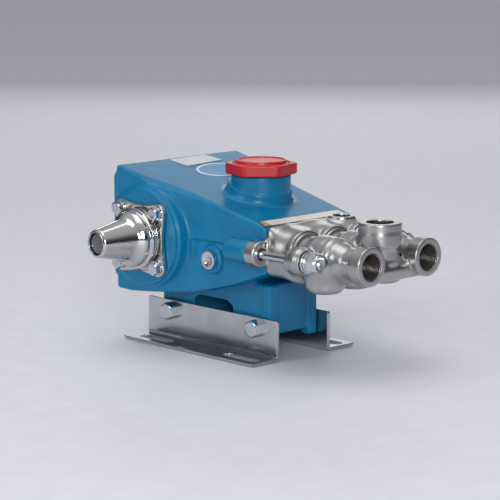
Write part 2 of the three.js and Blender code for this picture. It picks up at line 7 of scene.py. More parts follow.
import bmesh
import bpy
import numpy as np
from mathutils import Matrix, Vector


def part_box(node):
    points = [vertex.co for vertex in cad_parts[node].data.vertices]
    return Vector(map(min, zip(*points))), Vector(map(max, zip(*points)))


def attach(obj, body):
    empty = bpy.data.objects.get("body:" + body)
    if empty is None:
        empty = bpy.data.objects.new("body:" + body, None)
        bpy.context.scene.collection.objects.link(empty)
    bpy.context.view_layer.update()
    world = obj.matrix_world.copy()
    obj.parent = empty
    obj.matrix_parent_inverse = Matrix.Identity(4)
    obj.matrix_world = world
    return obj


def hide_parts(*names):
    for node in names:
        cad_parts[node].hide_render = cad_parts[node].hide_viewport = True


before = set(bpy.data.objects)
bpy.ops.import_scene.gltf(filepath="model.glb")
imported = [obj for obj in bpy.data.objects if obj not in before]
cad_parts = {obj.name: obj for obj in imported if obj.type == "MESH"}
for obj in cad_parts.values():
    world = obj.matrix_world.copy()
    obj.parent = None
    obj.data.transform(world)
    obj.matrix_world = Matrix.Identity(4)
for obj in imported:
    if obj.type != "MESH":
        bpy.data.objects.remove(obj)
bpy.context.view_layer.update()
MM = 0.001
NEAR, FAR = -1, 1


# ---------------------------------------------------------------- places, from the frame
def span(node):
    """Lowest and highest corner of a CAD node, in millimetres."""
    low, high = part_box(node)
    return np.array(low) / MM, np.array(high) / MM


def centre(node):
    low, high = span(node)
    return (low + high) / 2


CRANK_Y, AXIS_Z = centre("near_main_bearing")[1:]
BORES_X = [centre(f"cylinder_{n}")[0] for n in (1, 2, 3)]
CASE_LOW, CASE_HIGH = span("crankcase")
FRONT_Y, REAR_Y = CASE_LOW[1], CASE_HIGH[1]
BOSS_X = CASE_HIGH[0]
CASE_STEP = 1.35                        # grid of the largest casting
NECK_Y = centre("oil_filler_cap")[1]
NECK_TOP = span("oil_cap_gasket")[0][2] - 0.3
CAP_TURN = math.pi / 4
STUD_X = centre("far_manifold_stud")[0]
PLUG = centre("side_plug")
GAUGE_Z = centre("oil_gauge_lens")[2]
DRAIN_Z = centre("drain_plug")[2]
REAR_FACE = span("rear_cover")[1][1]
REAR_BOLT_X = centre("rear_cover_bolt_4")[0]
REAR_BOLT_Z = [centre("rear_cover_bolt_1")[2], centre("rear_cover_bolt_2")[2]]
RAIL_BOLTS = {n: centre(f"rail_bolt_{n}") for n in (1, 2, 3, 4)}
RAIL_HOLES_Y = [RAIL_BOLTS[1][1], RAIL_BOLTS[2][1]]
RAIL_BOLT_Z = RAIL_BOLTS[1][2]
RAIL_FACE = span("far_rail")[0][0] + 3.0
SLOT_X = 47.0
COVER_BOLT = centre("near_cover_bolt_3")[1] - CRANK_Y    # bearing cover bolts, along Y and along Z
PORT_X = 32.2
PORT_Z = 91.0
PORT_FACE_Y = span("discharge_manifold")[0][1]
TOP_PORT_Y = -111.0
TOP_PORT_Z = span("discharge_manifold")[1][2]
SMALL_PORT = (27.0, -44.0)
SMALL_PORT_Z = span("inlet_manifold")[1][2]
TOP_FALL = 0.2333                       # how far the top drops for each millimetre towards the front
BEARING_R = 26.0
CHAMBER_R = 39.0
NECK_R, NECK_BORE_R = 24.2, 13.9
BOLT_HOLE_R = 4.4
VALVE_POCKET_R = 14.0
PASSAGE_R = 8.5
THROW = 5.0                             # crank pins off the shaft's axis
BEYOND = 9.0                            # how far a cutter reaches past the face that it opens


# ---------------------------------------------------------------- fields: distance to a solid
def bar(axis, at, ends, radius, edge=0.8, taper=None):
    """A round bar, or a cone when taper gives the far radius: a capped cylinder, its rims rounded by edge.
    Every field is negative inside."""
    u, v = [i for i in range(3) if i != axis]
    middle, half = (ends[0] + ends[1]) / 2, (ends[1] - ends[0]) / 2

    def field(*p):
        wide = np.sqrt((p[u] - at[0]) ** 2 + (p[v] - at[1]) ** 2)
        along = p[axis] - middle
        edge_radius = radius if taper is None else radius + (taper - radius) * (along + half) / (2 * half)
        side = wide - edge_radius + edge
        end = np.abs(along) - half + edge
        return (np.minimum(np.maximum(side, end), 0)
                + np.hypot(np.maximum(side, 0), np.maximum(end, 0)) - edge)
    return field


def block(low, high, edge=0.8):
    """A box with rounded edges."""
    low, high = np.array(low, float), np.array(high, float)
    middle, half = (low + high) / 2, (high - low) / 2 - edge

    def field(*p):
        q = [np.abs(p[i] - middle[i]) - half[i] for i in range(3)]
        outside = np.sqrt(sum(np.maximum(d, 0) ** 2 for d in q))
        inside = np.minimum(np.maximum(np.maximum(q[0], q[1]), q[2]), 0)
        return outside + inside - edge
    return field


def outline(axes, points, edge=0.0):
    """An endless prism: a polygon across the two named axes, its corners rounded by edge."""
    points = np.array(points, float)
    if edge:
        points = inset(points, edge)

    def field(*p):
        u, v = p[axes[0]], p[axes[1]]
        nearest = np.full(np.broadcast(u, v).shape, 1e9)
        sign = np.ones(nearest.shape)
        for a, b in zip(points, np.roll(points, -1, axis=0)):
            du, dv = b - a
            run = np.clip(((u - a[0]) * du + (v - a[1]) * dv) / (du * du + dv * dv), 0, 1)
            nearest = np.minimum(nearest, (u - a[0] - run * du) ** 2 + (v - a[1] - run * dv) ** 2)
            above_a, above_b = v >= a[1], v >= b[1]
            left = (b[0] - a[0]) * (v - a[1]) - (b[1] - a[1]) * (u - a[0])
            crossing = (above_a != above_b) & ((left > 0) == (b[1] > a[1]))
            sign = np.where(crossing, -sign, sign)
        return sign * np.sqrt(nearest) - edge
    return field


def inset(points, distance):
    """A counterclockwise polygon with each side moved inwards by a distance."""
    before, after = np.roll(points, 1, axis=0), np.roll(points, -1, axis=0)
    into = np.stack([-(points - before)[:, 1], (points - before)[:, 0]], 1)
    out = np.stack([-(after - points)[:, 1], (after - points)[:, 0]], 1)
    into /= np.linalg.norm(into, axis=1, keepdims=True)
    out /= np.linalg.norm(out, axis=1, keepdims=True)
    bisector = into + out
    return points + bisector * distance / (1 + (into * out).sum(1, keepdims=True))


def slope(axes, point, normal):
    """A half space: distance above a plane across two axes."""
    length = math.hypot(*normal)
    return lambda *p: ((p[axes[0]] - point[0]) * normal[0] + (p[axes[1]] - point[1]) * normal[1]) / length


def join(radius, *fields):
    """Solids run together with a fillet that starts about this far from the corner."""
    def field(*p):
        whole = fields[0](*p)
        for other in fields[1:]:
            part = other(*p)
            near = np.maximum(radius - np.abs(whole - part), 0) / radius
            whole = np.minimum(whole, part) - near * near * radius / 4
        return whole
    return field


def meet(radius, *fields):
    """What solids share, with the edges between them rounded."""
    inverse = join(radius, *[negative(f) for f in fields])
    return lambda *p: -inverse(*p)


def negative(field):
    return lambda *p: -field(*p)


def cut(radius, body, *tools):
    """A solid with others taken out of it, their rims rounded."""
    return meet(radius, body, *[negative(tool) for tool in tools])


def mirrored(field):
    """The same on both sides of the YZ plane."""
    return lambda x, y, z: field(-np.abs(x), y, z)


# ---------------------------------------------------------------- meshes
CORNERS = np.array([(i, j, k) for i in (0, 1) for j in (0, 1) for k in (0, 1)])
EDGES = [(a, b) for a in range(8) for b in range(a + 1, 8) if np.abs(CORNERS[a] - CORNERS[b]).sum() == 1]


def skin(name, field, low, high, step):
    """The surface where a field is zero: one point in every grid cell it passes through, at the mean of
    its crossings with the cell's edges, moved along the field's slope onto the surface and joined across
    edges."""
    axes = [np.arange(low[i] - 2 * step, high[i] + 3 * step, step) for i in range(3)]
    value = field(axes[0][:, None, None], axes[1][None, :, None], axes[2][None, None, :])
    value = np.broadcast_to(value, [len(a) for a in axes])
    inside = value < 0
    cells = [n - 1 for n in value.shape]
    count = np.zeros(cells, np.int8)
    for i, j, k in CORNERS:
        count += inside[i:i + cells[0], j:j + cells[1], k:k + cells[2]]
    active = (count > 0) & (count < 8)
    index = np.full(cells, -1, np.int64)
    cell = np.argwhere(active)
    index[active] = np.arange(len(cell))
    corner = np.stack([value[tuple((cell + c).T)] for c in CORNERS], 1)
    total, crossings = np.zeros((len(cell), 3)), np.zeros((len(cell), 1))
    for a, b in EDGES:
        crossed = ((corner[:, a] < 0) != (corner[:, b] < 0))[:, None]
        part = corner[:, a] / np.where(crossed[:, 0], corner[:, a] - corner[:, b], 1)
        total += crossed * (CORNERS[a] + part[:, None] * (CORNERS[b] - CORNERS[a]))
        crossings += crossed
    origin = np.array([a[0] for a in axes])
    points = origin + (cell + total / crossings) * step
    faces = []
    for axis in range(3):
        u, v = (axis + 1) % 3, (axis + 2) % 3
        behind, ahead = np.moveaxis(inside, axis, 0)[:-1], np.moveaxis(inside, axis, 0)[1:]
        crossed = np.argwhere(np.moveaxis(behind != ahead, 0, axis))
        crossed = crossed[(crossed[:, u] > 0) & (crossed[:, v] > 0)]
        ring = []
        for du, dv in ((-1, -1), (0, -1), (0, 0), (-1, 0)):
            shifted = crossed.copy()
            shifted[:, u] += du
            shifted[:, v] += dv
            ring.append(index[tuple(shifted.T)])
        ring = np.stack(ring, 1)
        outward = inside[tuple(crossed.T)]
        faces.append(np.where(outward[:, None], ring, ring[:, ::-1]))
    for _ in range(3):
        normal, distance = gradient(field, points, step * 0.2)
        points = points - np.clip(distance, -step, step)[:, None] * normal
    normal, _ = gradient(field, points, step * 0.35)
    return surface(name, points, np.concatenate(faces), normal)


def gradient(field, points, reach):
    """Unit slope of a field at points, and its value there."""
    x, y, z = points.T
    rise = np.stack([field(x + reach, y, z) - field(x - reach, y, z),
                     field(x, y + reach, z) - field(x, y - reach, z),
                     field(x, y, z + reach) - field(x, y, z - reach)], 1)
    rise /= np.maximum(np.linalg.norm(rise, axis=1, keepdims=True), 1e-9)
    return rise, field(x, y, z)


def surface(name, points, faces, normals=None, smooth=True):
    """A mesh object from points in millimetres and faces of three or four corners."""
    mesh = bpy.data.meshes.new(name)
    faces = np.asarray(faces)
    mesh.vertices.add(len(points))
    mesh.vertices.foreach_set("co", (np.asarray(points) * MM).astype(np.float32).ravel())
    mesh.loops.add(faces.size)
    mesh.loops.foreach_set("vertex_index", faces.astype(np.int32).ravel())
    mesh.polygons.add(len(faces))
    mesh.polygons.foreach_set("loop_start", np.arange(0, faces.size, faces.shape[1], dtype=np.int32))
    mesh.polygons.foreach_set("use_smooth", np.full(len(faces), smooth))
    mesh.update(calc_edges=True)
    mesh.validate()
    if normals is not None:
        mesh.normals_split_custom_set_from_vertices(normals.tolist())
    piece = bpy.data.objects.new(name, mesh)
    bpy.context.scene.collection.objects.link(piece)
    return piece


def turned(axis, at, profile, sides=64, shape=None, closed=False):
    """A profile of (radius, along) carried round an axis: point = centre + radius (cos t, sin t).
    shape(t, radius, along) may change the radius with the angle. A profile that isn't closed starts and
    ends on the axis."""
    radius, along = np.array(profile, float).T
    t = np.linspace(0, 2 * np.pi, sides, endpoint=False)
    grid_t, grid_r = np.meshgrid(t, radius)
    grid_s = np.repeat(along[:, None], sides, axis=1)
    if shape:
        grid_r = shape(grid_t, grid_r, grid_s)
    points = np.zeros((len(radius), sides, 3))
    u, v = [i for i in range(3) if i != axis]
    points[..., u] = at[0] + grid_r * np.cos(grid_t)
    points[..., v] = at[1] + grid_r * np.sin(grid_t)
    points[..., axis] = grid_s
    rows = np.arange(len(radius) if closed else len(radius) - 1)[:, None]
    cols = np.arange(sides)[None, :]
    after, beside = (rows + 1) % len(radius), (cols + 1) % sides
    faces = np.stack([rows * sides + cols, rows * sides + beside,
                      after * sides + beside, after * sides + cols], -1).reshape(-1, 4)
    return points.reshape(-1, 3), faces


def rounded(points, radius=0.5, steps=4, closed=False):
    """An outline whose corners are turned into arcs: each a parabola between points set back by radius."""
    points = np.array(points, float)
    out = []
    last = len(points) - 1
    for i, corner in enumerate(points):
        if not closed and i in (0, last):
            out.append(corner[None])
            continue
        before, after = points[i - 1], points[(i + 1) % len(points)]
        reach_in = min(radius, np.linalg.norm(before - corner) * 0.45)
        reach_out = min(radius, np.linalg.norm(after - corner) * 0.45)
        start = corner + (before - corner) / np.linalg.norm(before - corner) * reach_in
        end = corner + (after - corner) / np.linalg.norm(after - corner) * reach_out
        f = np.linspace(0, 1, steps)[:, None]
        out.append((1 - f) ** 2 * start + 2 * f * (1 - f) * corner + f ** 2 * end)
    return np.concatenate(out)


def hexagon(across_flats, turn=0.0):
    """Radius of a hexagon at an angle: half its width over the cosine to the nearest flat, kept inside the
    profile's own radius, which cuts the corners off as a chamfer does."""
    def shape(t, radius, along):
        off_flat = (t - turn + np.pi / 6) % (np.pi / 3) - np.pi / 6
        return np.minimum(across_flats / 2 / np.cos(off_flat), radius)
    return shape


def threaded(pitch, depth, ends):
    """Radius with a triangular helix cut into it between two places, fading in over one pitch."""
    def shape(t, radius, along):
        turn = (along / pitch + t / (2 * np.pi)) % 1
        wave = 1 - 2 * np.abs(turn - 0.5)
        fade = np.clip(np.minimum(along - ends[0], ends[1] - along) / pitch, 0, 1)
        return radius - depth * wave * fade
    return shape


def solid(name, *shells, sharp=32):
    """One object from closed surfaces, each turned to face outwards; edges past the angle stay sharp."""
    points, faces, start = [], [], 0
    for shell_points, shell_faces in shells:
        a, b, c, d = (shell_points[shell_faces[:, i]] for i in range(4))
        middle = shell_points.mean(0)
        volume = ((np.cross(b - a, c - a) + np.cross(c - a, d - a)) * (a - middle)).sum()
        points.append(shell_points)
        faces.append((shell_faces if volume > 0 else shell_faces[:, ::-1]) + start)
        start += len(shell_points)
    piece = surface(name, np.concatenate(points), np.concatenate(faces))
    tidy = bmesh.new()
    tidy.from_mesh(piece.data)
    bmesh.ops.remove_doubles(tidy, verts=tidy.verts, dist=1e-7)
    tidy.to_mesh(piece.data)
    tidy.free()
    piece.data.set_sharp_from_angle(angle=math.radians(sharp))
    return piece


def slab(name, corners, height, thickness, edge=0.0):
    """A thin plate on the sloping top: an outline in X and Y laid on the plane, and again thickness above
    it, each closed by a fan to its middle."""
    ring = rounded(corners, edge, 6, closed=True) if edge else np.array(corners, float)
    low = np.column_stack([ring, height(ring[:, 1])])
    up = np.array([0, -TOP_FALL, 1]) / math.hypot(1, TOP_FALL) * thickness
    middle = np.repeat(low.mean(0)[None], len(ring), axis=0)
    rows = [middle, low, low + up * 0.6, low + up + (middle - low) * 0.004, middle + up]
    count = len(ring)
    r, c = np.arange(4)[:, None], np.arange(count)[None, :]
    faces = np.stack([r * count + c, r * count + (c + 1) % count,
                      (r + 1) * count + (c + 1) % count, (r + 1) * count + c], -1).reshape(-1, 4)
    return solid(name, (np.concatenate(rows), faces))


# ---------------------------------------------------------------- materials
PATCH = 22                              # width of the soft patches of tone, in millimetres


def linear(code):
    """An sRGB hex colour as linear RGBA."""
    parts = [int(code[i:i + 2], 16) / 255 for i in (1, 3, 5)]
    return [p / 12.92 if p <= 0.04045 else ((p + 0.055) / 1.055) ** 2.4 for p in parts] + [1.0]


def node(tree, kind, inputs=None, **settings):
    """Adds a node, sets its properties, and gives each input a value or links it to an output."""
    made = tree.nodes.new(kind)
    for key, value in settings.items():
        setattr(made, key, value)
    for key, value in (inputs or {}).items():
        if isinstance(value, bpy.types.NodeSocket):
            tree.links.new(value, made.inputs[key])
        else:
            made.inputs[key].default_value = value
    return made


def ramped(tree, factor, stops):
    """A colour that runs through hex colours, each at its own value of the factor."""
    ramp = node(tree, "ShaderNodeValToRGB", {"Fac": factor})
    elements = ramp.color_ramp.elements
    for element, (position, code) in zip((elements[0], elements[1]), (stops[0], stops[-1])):
        element.position = position
        element.color = linear(code)
    for position, code in stops[1:-1]:
        elements.new(position).color = linear(code)
    return ramp.outputs["Color"]


def finish(name, colour, worn, roughness, grain_mm, bump_mm, metallic=0.0, spread=0.06,
           stretch=(1, 1, 1), **shader):
    """A surface whose colour runs between two tones in soft patches, whose roughness varies by spread, and
    whose grain, grain_mm across and bump_mm deep, may be stretched along an axis as brushing does."""
    material = bpy.data.materials.new(name)
    material.use_nodes = True
    tree = material.node_tree
    shade = tree.nodes["Principled BSDF"]
    place = node(tree, "ShaderNodeTexCoord").outputs["Object"]
    drawn = node(tree, "ShaderNodeMapping", {"Vector": place, "Scale": stretch}).outputs["Vector"]
    patches = node(tree, "ShaderNodeTexNoise", {"Vector": place, "Scale": 1 / (PATCH * MM), "Detail": 3.0})
    grain = node(tree, "ShaderNodeTexNoise", {"Vector": drawn, "Scale": 1 / (grain_mm * MM), "Detail": 2.0})
    tone = ramped(tree, patches.outputs["Fac"], [(0.35, worn), (0.68, colour)])
    polish = node(tree, "ShaderNodeMapRange", {
        "Value": grain.outputs["Fac"], "From Min": 0.3, "From Max": 0.7,
        "To Min": roughness - spread, "To Max": roughness + spread})
    bump = node(tree, "ShaderNodeBump", {
        "Height": grain.outputs["Fac"], "Distance": bump_mm * MM, "Strength": 1.0})
    tree.links.new(tone, shade.inputs["Base Color"])
    tree.links.new(polish.outputs["Result"], shade.inputs["Roughness"])
    tree.links.new(bump.outputs["Normal"], shade.inputs["Normal"])
    shade.inputs["Metallic"].default_value = metallic
    for key, value in shader.items():
        shade.inputs[key.replace("_", " ")].default_value = value
    return material


# Stoving enamel sprayed over an iron-mould casting: glossy, with the faint orange peel of a thick coat.
ENAMEL = finish("stoving_enamel", "#007AA8", "#00709B", 0.34, 2.2, 0.02, spread=0.04,
                Coat_Weight=0.12, Coat_Roughness=0.14, Specular_IOR_Level=0.32)
# Investment-cast stainless, tumbled then buffed: soft reflections over a fine pebbled grain.
CAST_STAINLESS = finish("tumbled_stainless_casting", "#B9B9B8", "#ABABAA", 0.31, 1.4, 0.006, metallic=1.0,
                        spread=0.03)
# Stainless turned and polished on a lathe: mirror-like, its grain running round the X axis.
TURNED_STAINLESS = finish("polished_turned_stainless", "#D2D1CE", "#C6C5C2", 0.11, 0.5, 0.003, metallic=1.0,
                          spread=0.03, stretch=(4, 0.4, 0.4))
# Cold-rolled stainless sheet with a brushed grain along the rail.
BRUSHED_SHEET = finish("brushed_steel_sheet", "#CDD0D2", "#BBBEC1", 0.22, 0.6, 0.004, metallic=1.0,
                       spread=0.05, stretch=(1, 0.06, 1))
# Bright zinc plate: a slightly blue, mottled shine.
ZINC = finish("bright_zinc_plate", "#D3D7DA", "#C0C6CC", 0.17, 1.2, 0.006, metallic=1.0, spread=0.04)
# Forged and ground alloy steel, oiled.
FORGED = finish("ground_forged_steel", "#8D9195", "#75797D", 0.33, 0.7, 0.02, metallic=1.0)
# Machined bronze.
BRONZE = finish("machined_bronze", "#B98F52", "#A67C42", 0.34, 0.6, 0.015, metallic=1.0)
# Polished alumina ceramic.
CERAMIC = finish("polished_alumina", "#EDE8DC", "#E3DDCE", 0.22, 1.0, 0.004, spread=0.04)
# Glass-filled nylon moulded in red, its skin faintly stippled by the mould.
RED_NYLON = finish("moulded_red_nylon", "#C8161D", "#B81118", 0.36, 1.1, 0.01, spread=0.05,
                   Coat_Weight=0.15, Coat_Roughness=0.2)
# Painted shade: a dark steel colour on the threads down inside the ports, standing in for the shadow deep
# in each bore.
PORT_SHADE_PAINT = finish("port_thread_painted_shade", "#4A4543", "#37322F", 0.3, 1.0, 0.004, metallic=0.8)
# Clear moulded acrylic over the oil.
ACRYLIC = finish("clear_acrylic", "#E6EEF0", "#DDE6E8", 0.08, 2.0, 0.002, spread=0.03,
                 Transmission_Weight=0.85)
# Black nitrile rubber with a matt bloom.
NITRILE = finish("nitrile_rubber", "#202124", "#17181A", 0.62, 0.8, 0.02, spread=0.1)
# Silvered polyester plate.
SILVER_FOIL = finish("silvered_label_film", "#D9DDDB", "#C9CECC", 0.4, 0.5, 0.003, metallic=0.35)
# Printed vinyl films.
CREAM_VINYL = finish("cream_vinyl_film", "#E4E1D9", "#D8D4CA", 0.42, 0.8, 0.003, spread=0.04)
DARK_VINYL = finish("dark_vinyl_border", "#33302E", "#2A2826", 0.45, 0.8, 0.003, spread=0.04)
TAN_VINYL = finish("tan_vinyl_film", "#B99A78", "#A98966", 0.42, 0.8, 0.003, spread=0.04)
WHITE_VINYL = finish("white_vinyl_film", "#ECEFF1", "#E2E6E9", 0.38, 0.8, 0.003, spread=0.04)
BLUE_VINYL = finish("blue_vinyl_film", "#4D8FC4", "#3F7FB4", 0.35, 0.8, 0.003, spread=0.04)
# Paper-smooth studio floor.
FLOOR = finish("matt_studio_floor", "#E6E6EC", "#E2E2E9", 0.6, 8.0, 0.0, spread=0.02)


def made(piece, material, slot, *nodes, body="root"):
    """Gives a piece its finish, its body and the CAD nodes that it stands for; the slot argument is not
    used.
    """
    piece.data.materials.append(material)
    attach(piece, body)
    if nodes:
        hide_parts(*nodes)
    return piece


# ---------------------------------------------------------------- crankcase
def top_z(y):
    """Height of the sloping top plane."""
    return CASE_HIGH[2] - TOP_FALL * (REAR_Y - y)


def tilted(field, pivot_y):
    """A field turned about an axis along X in the top plane, so that its Z stands square to the slope."""
    length = math.hypot(1, TOP_FALL)
    c, s = 1 / length, TOP_FALL / length
    z0 = top_z(pivot_y)
    return lambda x, y, z: field(x, (y - pivot_y) * c + (z - z0) * s, -(y - pivot_y) * s + (z - z0) * c)


def body_plan(inwards=0.0):
    """The crankcase from above: square at the back, narrowing to the front."""
    half = [(69, 150), (69, 97), (54, 50), (49, -60)]
    ring = rounded([(-x, y) for x, y in half] + [(x, y) for x, y in half[::-1]], 24, 9, closed=True)
    return outline((0, 1), inset(ring, inwards) if inwards else ring)


def upright(start, end, radius, edge=0.8, taper=None):
    """A bar on the axis of the oil neck."""
    return bar(2, (0, NECK_Y), (start, end), radius, edge, taper)


def level(x, start, end, radius, edge=0.8):
    """A bar along Y at the height of the cylinders."""
    return bar(1, (x, AXIS_Z), (start, end), radius, edge)


def wedge():
    """The closed part of the casting: its side view met with its plan, the lower front panel set back, the
    bearing bosses, and the pad and neck for the oil cap."""
    low_edge = [(-70, 88), (3, 61), (51, 48.5), (106, 44.8), (150, 46)]
    side = outline((1, 2), low_edge + [(150, top_z(150)), (-70, top_z(-70))])
    panel = meet(1.0, negative(body_plan(1.7)), lambda x, y, z: np.maximum(z - 94, y - 47) + 0 * x)
    bosses = join(2.0, bar(0, (CRANK_Y, AXIS_Z), (-65.3, 65.3), 41.5, 1.4),
                  bar(0, (CRANK_Y, AXIS_Z), (-BOSS_X, BOSS_X), 39.4, 1.1))
    body = join(5.0, cut(1.2, meet(3.6, side, body_plan()), panel), bosses)
    pad = tilted(bar(2, (0, 3.4), (-14, 8.5), 26.8, 1.2), NECK_Y)
    body = join(6.0, body, pad)
    studs = mirrored(join(5.0, level(-STUD_X, -26.6, -2.0, 9.0, 1.2),
                          block((-STUD_X, -26.6, AXIS_Z - 8), (-40, -2, AXIS_Z + 8), 1.5)))
    plug_pad = mirrored(bar(0, PLUG[1:], (-55, -40), 11.5, 1.2))
    body = join(3.0, join(3.0, body, studs), plug_pad)
    return join(0.9, body, upright(112, NECK_TOP, NECK_R, 0.9))


def pedestal():
    """A hollow-sided foot with a rounded column at each corner and an arch through it."""
    feet = [block((-26, -15, 19), (26, 110, 60), 2.0)]
    for y0, y1 in ((-17, -7), (102, 112)):
        feet.append(mirrored(block((-27.2, y0, 14), (-17, y1, 60), 2.2)))
    arch = outline((1, 2), [(27.7, 0), (74.4, 0), (74.4, 37), (68, 41), (34, 41), (27.7, 37)])
    return cut(1.0, join(1.2, *feet), arch)


def case_bores():
    """The chamber, open at the back, the bearing bores, the neck, the crosshead guides and stud holes."""
    at = (CRANK_Y, AXIS_Z)
    bores = [bar(0, at, (-49.5, 49.5), CHAMBER_R), block((-49, CRANK_Y, 60), (49, REAR_Y + BEYOND, 130), 3),
             bar(0, at, (-80, 80), BEARING_R), upright(100, NECK_TOP + BEYOND, NECK_BORE_R)]
    for x in BORES_X:
        bores += [level(x, -14, CRANK_Y, 13.4), level(x, FRONT_Y - BEYOND, 0, PASSAGE_R)]
    return bores + [level(x, FRONT_Y - BEYOND, -4, 4.3, 0.2) for x in (-STUD_X, STUD_X)]


def crankcase():
    """The casting: a wedge that narrows to the front, on a pedestal, cut off flat at both ends."""
    middle, half = (REAR_Y + FRONT_Y) / 2, (REAR_Y - FRONT_Y) / 2
    ends = lambda x, y, z: np.abs(y - middle) - half + 0 * x
    whole = meet(2.4, join(3.5, wedge(), pedestal()), ends)
    piece = skin("crankcase_casting", cut(0.6, whole, *case_bores()), CASE_LOW, CASE_HIGH, CASE_STEP)
    return made(piece, ENAMEL, "enamel", "crankcase")


def rear_cover():
    """A flat cast cover, its corners round, with a raised rim and a boss for the gauge and the drain."""
    low, high = span("rear_cover")
    corners = [(low[0], low[2]), (high[0], low[2]), (high[0], high[2]), (low[0], high[2])]
    ring = rounded(corners, 12, 8, closed=True)

    def plate(inwards, y0, y1):
        section = outline((0, 2), inset(ring, inwards) if inwards else ring)
        return meet(0.8, section, lambda x, y, z: np.abs(y - (y0 + y1) / 2) - (y1 - y0) / 2 + 0 * x)
    pocket = plate(9, low[1] + 4.6, high[1] + 5)
    middle = join(3, block((-13, low[1], 52.5), (13, high[1], 102), 4),
                  bar(1, (0, GAUGE_Z), (low[1], high[1]), 15))
    posts = [bar(1, (x, z), (low[1], high[1]), 8.5)
             for x in (-REAR_BOLT_X, REAR_BOLT_X) for z in REAR_BOLT_Z]
    field = join(2.5, cut(1.5, plate(0, low[1], high[1]), pocket), middle, *posts)
    holes = [bar(1, (0, GAUGE_Z), (0, 200), 8.3, 0.2), bar(1, (0, DRAIN_Z), (0, 200), 5.3, 0.2)]
    piece = skin("rear_cover_casting", cut(0.4, field, *holes), low, high, 1.0)
    return made(piece, ENAMEL, "enamel", "rear_cover")


# ---------------------------------------------------------------- fasteners
def subdivided(outer, parts, closed=False):
    """An outline with each of its sides split into equal parts."""
    after = outer[1:] + outer[:1] if closed else outer[1:]
    rows = [np.linspace(a, b, parts + 1)[:-1] for a, b in zip(outer, after)]
    return np.concatenate(rows if closed else rows + [[outer[-1]]])


def bolt(name, axis, at, face, outwards, across_flats, head, washer, shank, slot, nodes, body="root"):
    """A hexagon bolt: shank behind a face, washer on it, and a head whose corners a chamfer cuts off."""
    def run(profile):
        return [(r, face + outwards * s) for r, s in profile]
    corner = across_flats / math.sqrt(3)
    flat = across_flats / 2
    thick = 1.5 if washer else 0.0
    shank_r = shank_radius(across_flats)
    shells = [turned(axis, at, run([(0, -shank), (shank_r, -shank), (shank_r, thick), (0, thick)]), 32)]
    if washer:
        ring = rounded([(0, 0.05), (washer, 0.05), (washer, thick), (0, thick)], 0.3)
        shells.append(turned(axis, at, run(ring), 64))
    rise = (corner - flat * 0.93) * math.tan(math.radians(28))
    top = thick + head
    outer = [(0, thick), (corner * 0.97, thick), (corner + 0.3, thick + 0.5), (corner + 0.3, top - rise),
             (flat * 0.93, top - 0.05), (flat * 0.90, top), (0, top)]
    shells.append(turned(axis, at, run(subdivided(outer, 4)), 96, hexagon(across_flats)))
    return made(solid(name, *shells), ZINC, slot, *nodes, body=body)


def shank_radius(across_flats):
    """An M6 bolt has a 10 mm head and an M8 one a 13 mm head."""
    return 2.9 if across_flats < 11 else 3.9


def bolts():
    """Every hexagon bolt that shows."""
    face = BOSS_X + 4.3
    for n, (y, z) in enumerate(((-1, -1), (1, -1), (1, 1), (-1, 1)), 1):
        at = (CRANK_Y + y * COVER_BOLT, AXIS_Z + z * COVER_BOLT)
        for side, sign, nodes in (("near", NEAR, [f"near_cover_bolt_{n}"]), ("far", FAR, [])):
            name = f"{side}_cover_bolt_{n}_m6"
            bolt(name, 0, at, sign * face, sign, 10, 4, 5.6, 12, "zinc_fastener", nodes)
    for n, place in RAIL_BOLTS.items():
        sign = NEAR if place[0] < 0 else FAR
        bolt(f"rail_bolt_{n}_m8", 0, place[1:], sign * RAIL_FACE, sign, 13, 7.2, 0, 13, "zinc_fastener",
             [f"rail_bolt_{n}"])
    for n, (x, z) in enumerate([(x, z) for x in (-REAR_BOLT_X, REAR_BOLT_X) for z in REAR_BOLT_Z], 1):
        bolt(f"rear_cover_bolt_{n}_m6", 1, (x, z), REAR_FACE, 1, 10, 3.1, 5.6, 13, "zinc_fastener",
             [f"rear_cover_bolt_{n}"])


def studs_and_nuts():
    """Two long studs threaded at the front, each with a flat washer, a spring washer and a nut."""
    def washer(at, radius, start, end, edge):
        section = [(4.4, start), (radius, start), (radius, end), (4.4, end)]
        return turned(1, at, rounded(section, edge, closed=True), 72, closed=True)
    for side, x in (("near", -STUD_X), ("far", STUD_X)):
        at = (x, AXIS_Z)
        back = span(f"{side}_manifold_stud")[1][1]
        face = span(f"{side}_manifold_nut")[1][1]
        tip = face - 15.6
        rows = [(0, tip), (3.0, tip), (3.95, tip + 0.9)]
        rows += [(3.95, s) for s in np.arange(tip + 1, -84, 0.16)]
        rows += [(3.7, -83), (3.7, -20), (3.95, -19), (3.95, back - 0.6), (3.2, back), (0, back)]
        stud = solid(f"{side}_stud_m8", turned(1, at, rows, 48, threaded(1.25, 0.75, (tip + 0.9, -84))))
        made(stud, ZINC, "zinc_fastener", f"{side}_manifold_stud")
        outer = [(4.3, face - 4.1), (7.2, face - 4.1), (8.0, face - 4.8), (8.0, face - 11.8),
                 (6.4, face - 13.2), (5.6, face - 14.2), (4.3, face - 14.2)]
        hex_nut = turned(1, at, subdivided(outer, 3, closed=True), 96, hexagon(13, 0.2), closed=True)
        nut = solid(f"{side}_nut_and_washers", washer(at, 8.6, face, face - 1.7, 0.35),
                    washer(at, 7.7, face - 1.8, face - 4.0, 0.5), hex_nut)
        made(nut, ZINC, "zinc_fastener", f"{side}_manifold_nut")


